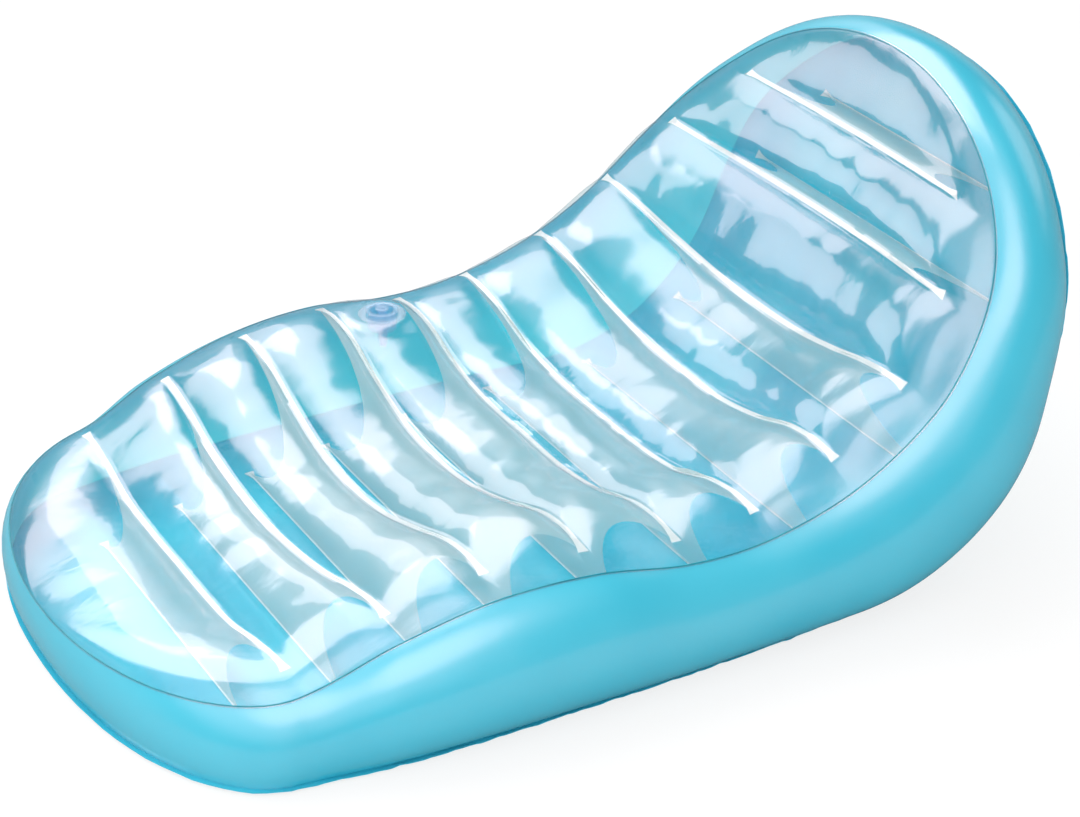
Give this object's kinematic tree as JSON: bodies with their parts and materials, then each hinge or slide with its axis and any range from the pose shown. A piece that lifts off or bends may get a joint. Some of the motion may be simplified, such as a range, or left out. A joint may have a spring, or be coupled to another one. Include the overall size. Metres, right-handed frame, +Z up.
{
  "type": "inflatable pool chair",
  "caption": "Inflatable pool lounger: clear dished top sheet over cross webs, turquoise side wall and base, rounded foot, raised backrest, shoulder valve.",
  "frame": {"origin": "on the floor, under the middle of the whole chair", "axes": "+X across the chair to its right side, +Y from the foot towards the backrest, +Z up"},
  "size_m": [0.8838, 1.2886, 0.5603],
  "materials": {
    "clear_film": "clear, glossy",
    "turquoise_film": "pearly, glossy",
    "base_film": "glossy",
    "milky_film": "translucent, satin",
    "soft_clear_vinyl": "translucent, glossy"
  },
  "bodies": {
    "chair": {"top_sheet": "clear_film", "side_wall": "turquoise_film", "base_sheet": "base_film", "web_01": "milky_film", "web_02": "milky_film", "web_03": "milky_film", "web_04": "milky_film", "web_05": "milky_film", "web_06": "milky_film", "web_07": "milky_film", "web_08": "milky_film", "web_09": "milky_film", "web_10": "milky_film", "valve_base": "soft_clear_vinyl"},
    "plug": {"valve_plug": "soft_clear_vinyl"},
    "cap": {"inflation_cap": "soft_clear_vinyl"},
    "flap": {"check_flap": "soft_clear_vinyl"}
  },
  "joints": [
    {"name": "plug_pull", "type": "slide", "parent": "chair", "child": "plug", "axis": [0, 0, 1], "range_m": [0, 0.03]},
    {"name": "cap_hinge", "type": "hinge", "parent": "plug", "child": "cap", "pos_m": [-0.29451, -0.05084, 0.20436], "axis": [0, -1, 0], "range_deg": [0, 150]},
    {"name": "flap_hinge", "type": "hinge", "parent": "plug", "child": "flap", "pos_m": [-0.28168, -0.05084, 0.17291], "axis": [0, 1, 0], "range_deg": [0, 50], "stiffness_Nm_per_rad": 0.0005}
  ]
}
